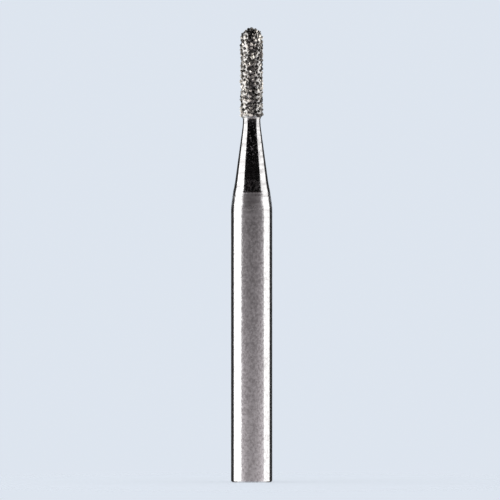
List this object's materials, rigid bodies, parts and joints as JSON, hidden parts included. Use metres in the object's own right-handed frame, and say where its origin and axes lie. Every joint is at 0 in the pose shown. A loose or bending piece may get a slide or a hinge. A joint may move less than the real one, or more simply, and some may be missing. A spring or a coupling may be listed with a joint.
{
  "type": "dental bur",
  "caption": "Round-ended cylindrical diamond bur with a conical neck and a straight friction-grip shank.",
  "frame": {"origin": "centre of the flat end of the shank", "axes": "+Z along the bur's axis, from the flat end of the shank to the tip of the head; X and Y are alike"},
  "size_m": [0.0016, 0.0016, 0.0175],
  "materials": {
    "steel": "ground shank, polished neck",
    "nickel": "electroplated, satin",
    "diamond": "sharp glassy facets"
  },
  "bodies": {
    "root": {"steel_blank": "steel", "nickel_bond": "nickel", "diamond_grit": "diamond"}
  },
  "joints": []
}
